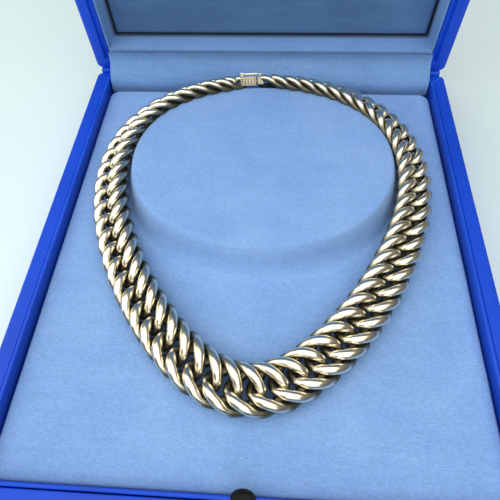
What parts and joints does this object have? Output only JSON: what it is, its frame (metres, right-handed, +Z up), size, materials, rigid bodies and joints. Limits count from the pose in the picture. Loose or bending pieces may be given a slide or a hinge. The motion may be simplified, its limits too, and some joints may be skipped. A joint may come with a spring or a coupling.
{
  "type": "graduated curb link necklace in a hinged presentation case",
  "caption": "Graduated double curb link necklace on the raised neck form of a shallow blue case with a hinged lid, shown open.",
  "frame": {"origin": "the middle of the case's underside, which stands on a surface", "axes": "+X to the right for someone facing the open case, +Y towards the hinge at the back, +Z up"},
  "size_m": [0.186, 0.2308, 0.2378],
  "materials": {
    "leatherette": "bright blue grained leatherette, satin",
    "velour": "pale blue velour with a short nap",
    "lining": "grey-blue velour lining",
    "gold": "polished pale yellow gold",
    "hinge": "satin brass",
    "catch": "black lacquer"
  },
  "bodies": {
    "root": {"base_case": "leatherette", "base_lip": "leatherette", "display_pad": "velour", "hinge_strip": "lining", "front_catch": "catch", "hinge_leaf_base_left": "hinge", "hinge_leaf_base_right": "hinge", "chain_strand_1": "gold", "chain_strand_2": "gold", "clasp_box": "gold", "clasp_tongue": "gold"},
    "lid": {"lid_case": "leatherette", "lid_lining": "lining", "lid_panel": "lining", "hinge_leaf_lid_left": "hinge", "hinge_leaf_lid_right": "hinge"},
    "safety_catch": {"safety_catch": "gold"}
  },
  "joints": [
    {"name": "lid_hinge", "type": "hinge", "parent": "root", "child": "lid", "pos_m": [0, 0.1066, 0.0262], "axis": [1, 0, 0], "range_deg": [0, 90], "deforming": ["hinge_strip"]},
    {"name": "safety_catch_hinge", "type": "hinge", "parent": "root", "child": "safety_catch", "pos_m": [-0.01233, 0.09089, 0.03644], "axis": [0.0579, -0.7932, 0.6062], "range_deg": [0, 18]}
  ]
}
